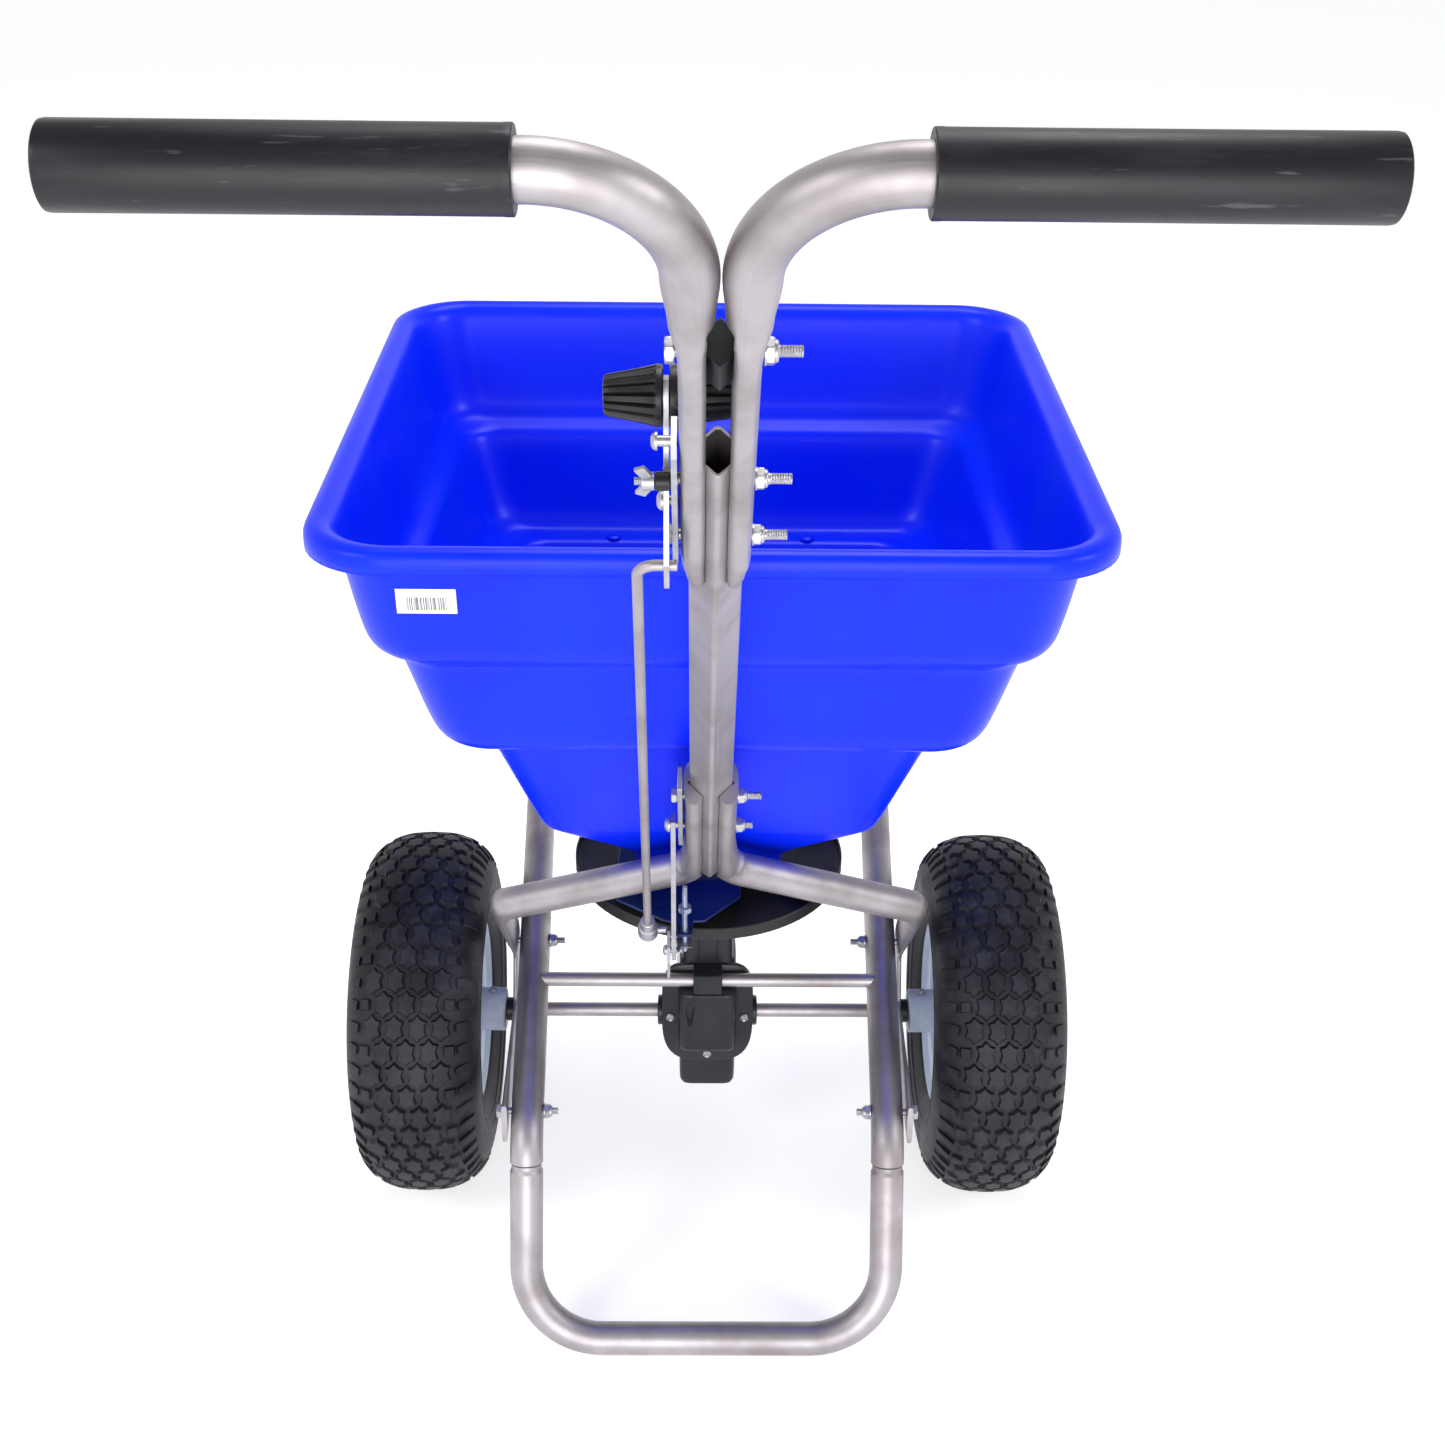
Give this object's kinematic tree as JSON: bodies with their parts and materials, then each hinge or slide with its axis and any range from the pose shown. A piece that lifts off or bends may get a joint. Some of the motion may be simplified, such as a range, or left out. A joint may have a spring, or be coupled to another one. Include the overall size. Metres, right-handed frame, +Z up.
{
  "type": "garden spreader",
  "caption": "Walk-behind broadcast spreader: stepped hopper, two pneumatic wheels, driven impeller, shut-off gate and control lever on a T-handle.",
  "frame": {"origin": "on the ground under the middle of the whole object", "axes": "+Z up, +Y away from the operator, +X to the operator's right, along the axle"},
  "size_m": [0.631, 0.938, 1.1076],
  "materials": {
    "steel_tube": "satin stainless tube",
    "zinc": "zinc-plated hardware",
    "grip_rubber": "smooth black rubber",
    "tyre": "matt black tyre rubber",
    "hopper_blue": "gloss blue plastic",
    "black_plastic": "black moulded plastic",
    "wheel_paint": "light grey paint",
    "gate_navy": "dark navy paint"
  },
  "bodies": {
    "chassis": {"axle_bush_left": "black_plastic", "axle_bush_right": "black_plastic", "brace_rod": "steel_tube", "cover_screw_1": "zinc", "cover_screw_2": "zinc", "cover_screw_3": "zinc", "crank_pin": "zinc", "frame_bolt_front_left": "zinc", "frame_bolt_front_right": "zinc", "frame_bolt_rear_left": "zinc", "frame_bolt_rear_right": "zinc", "gearbox_cover": "black_plastic", "gearbox_housing": "black_plastic", "grip_left": "grip_rubber", "grip_right": "grip_rubber", "handle_bar_left": "steel_tube", "handle_bar_right": "steel_tube", "handle_bolt_1": "zinc", "handle_bolt_2": "zinc", "handle_bolt_3": "zinc", "handle_post": "steel_tube", "handle_spacer": "black_plastic", "hanger_strap": "zinc", "hopper": "hopper_blue", "hopper_bolt_left": "zinc", "hopper_bolt_right": "zinc", "lever_bracket": "zinc", "lever_pivot_bolt": "zinc", "limit_pin": "zinc", "main_frame": "steel_tube", "outlet_plate": "zinc", "stand_leg": "steel_tube", "yoke_bolt_1": "zinc", "yoke_bolt_2": "zinc", "yoke_bracket": "zinc", "yoke_left": "steel_tube", "yoke_right": "steel_tube"},
    "wheels": {"axle": "steel_tube", "wheel_left": "wheel_paint", "wheel_right": "wheel_paint", "tyre_left": "tyre", "tyre_right": "tyre", "hub_pin_left": "zinc", "hub_pin_right": "zinc", "drive_gear": "black_plastic"},
    "spinner": {"impeller": "black_plastic", "impeller_shaft": "steel_tube", "pinion": "black_plastic", "agitator": "steel_tube"},
    "lever": {"control_lever": "zinc", "control_knob": "black_plastic"},
    "rod": {"control_rod": "zinc", "rod_ferrule": "zinc"},
    "crank": {"gate_crank": "zinc", "adjusting_screw": "zinc"},
    "gate": {"gate_plate": "gate_navy"},
    "rate_stop": {"stop_bolt": "zinc", "stop_spacer": "black_plastic"},
    "wing": {"wing_nut": "zinc"}
  },
  "joints": [
    {"name": "axle_roll", "type": "hinge", "parent": "chassis", "child": "wheels", "pos_m": [0, 0.1529, 0.165], "axis": [1, 0, 0], "continuous": true},
    {"name": "spinner_turn", "type": "hinge", "parent": "chassis", "child": "spinner", "pos_m": [0, 0.1529, 0.338], "axis": [0, 0, 1], "continuous": true},
    {"name": "lever_swing", "type": "hinge", "parent": "chassis", "child": "lever", "pos_m": [-0.0275, -0.28474, 0.86851], "axis": [1, 0, 0], "range_deg": [-18, 0]},
    {"name": "rod_hook", "type": "hinge", "parent": "lever", "child": "rod", "pos_m": [-0.0275, -0.29593, 0.8345], "axis": [1, 0, 0], "range_deg": [-1, 19]},
    {"name": "crank_turn", "type": "hinge", "parent": "chassis", "child": "crank", "pos_m": [-0.029, 0.0179, 0.335], "axis": [1, 0, 0], "range_deg": [-1, 37]},
    {"name": "gate_slide", "type": "slide", "parent": "chassis", "child": "gate", "axis": [0, 1, 0], "range_m": [-0.0107, 0.0002]},
    {"name": "stop_slide", "type": "slide", "parent": "chassis", "child": "rate_stop", "axis": [0, -0.5859, 0.8104], "range_m": [0, 0.011]},
    {"name": "wing_turn", "type": "hinge", "parent": "rate_stop", "child": "wing", "pos_m": [-0.037, -0.31818, 0.89393], "axis": [1, 0, 0], "continuous": true}
  ],
  "couplings": [
    {"joint": "spinner_turn", "follows": "axle_roll", "ratio": -2},
    {"joint": "rod_hook", "follows": "lever_swing", "ratio": -1},
    {"joint": "crank_turn", "follows": "lever_swing", "ratio": -2},
    {"joint": "gate_slide", "follows": "lever_swing", "m_per_rad": 0.0334}
  ]
}
